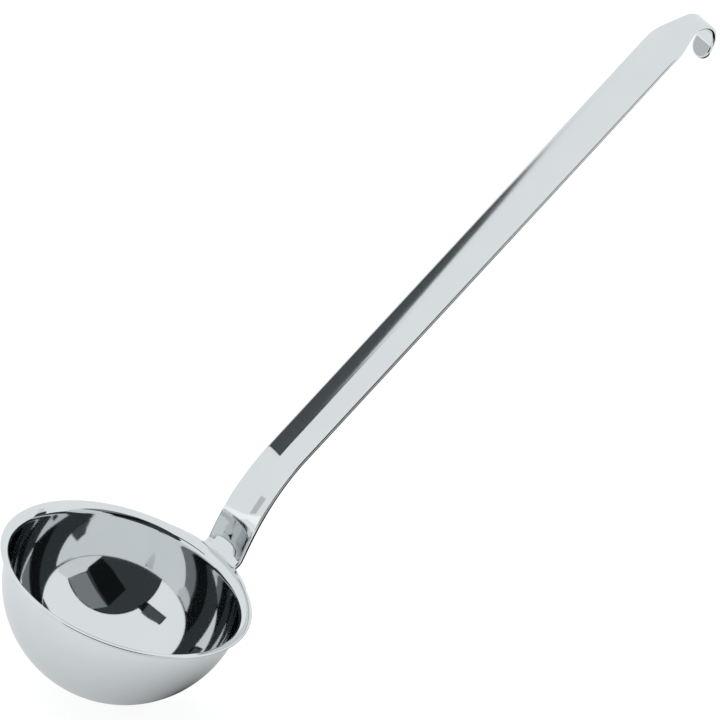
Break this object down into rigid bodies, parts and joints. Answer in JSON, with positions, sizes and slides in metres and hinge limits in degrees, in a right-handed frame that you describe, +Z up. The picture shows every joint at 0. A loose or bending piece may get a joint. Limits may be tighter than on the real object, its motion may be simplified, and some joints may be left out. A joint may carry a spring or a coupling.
{
  "type": "soup ladle",
  "caption": "Polished steel soup ladle: hemispherical bowl with a narrow flared rim and a long trough-shaped strip handle that ends in a hanging hook.",
  "frame": {"origin": "axis of the hook's bend, at the middle of the handle's width", "axes": "+Z up along the bowl's axis, +X from the bowl towards the hook, +Y across the handle"},
  "size_m": [0.2975, 0.1072, 0.2832],
  "materials": {
    "polished_steel": "mirror-polished stainless steel"
  },
  "bodies": {
    "root": {"bowl": "polished_steel", "handle": "polished_steel", "weld": "polished_steel"}
  },
  "joints": []
}
